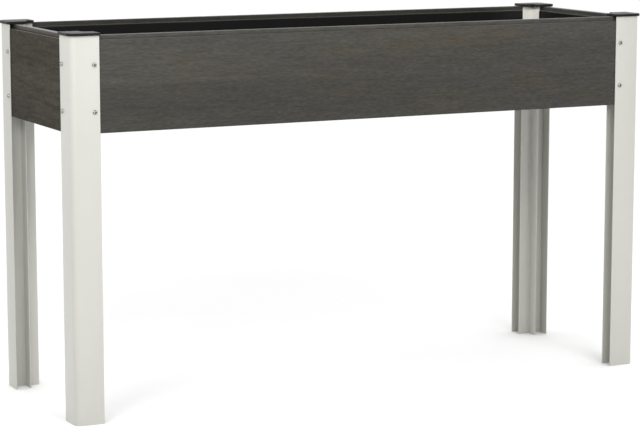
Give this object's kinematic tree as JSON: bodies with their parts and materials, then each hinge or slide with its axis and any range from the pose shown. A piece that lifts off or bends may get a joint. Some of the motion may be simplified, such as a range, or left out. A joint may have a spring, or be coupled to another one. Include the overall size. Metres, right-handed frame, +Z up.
{
  "type": "raised garden bed",
  "caption": "Long planting trough of dark tongue-and-groove boards held waist high between channelled white corner posts with flat black caps, with a slatted floor and a fabric liner.",
  "frame": {"origin": "on the ground at the centre of the four posts", "axes": "+X along the bed towards its right end, -Y towards the front, +Z up"},
  "size_m": [1.208, 0.394, 0.711],
  "materials": {
    "post_coating": "satin",
    "cap_plastic": "satin",
    "board_composite": "matte",
    "slat_composite": "matte",
    "ledger_aluminium": "satin",
    "liner_fabric": "matte",
    "screw_steel": "satin"
  },
  "bodies": {
    "root": {"post_front_left": "post_coating", "cap_front_left": "cap_plastic", "post_front_right": "post_coating", "cap_front_right": "cap_plastic", "post_rear_right": "post_coating", "cap_rear_right": "cap_plastic", "post_rear_left": "post_coating", "cap_rear_left": "cap_plastic", "board_front": "board_composite", "board_right": "board_composite", "board_rear": "board_composite", "board_left": "board_composite", "ledger_front": "ledger_aluminium", "ledger_rear": "ledger_aluminium", "floor_slat_1": "slat_composite", "floor_slat_2": "slat_composite", "floor_slat_3": "slat_composite", "floor_slat_4": "slat_composite", "floor_slat_5": "slat_composite", "floor_slat_6": "slat_composite", "floor_slat_7": "slat_composite", "floor_slat_8": "slat_composite", "liner": "liner_fabric", "post_screws": "screw_steel"}
  },
  "joints": []
}
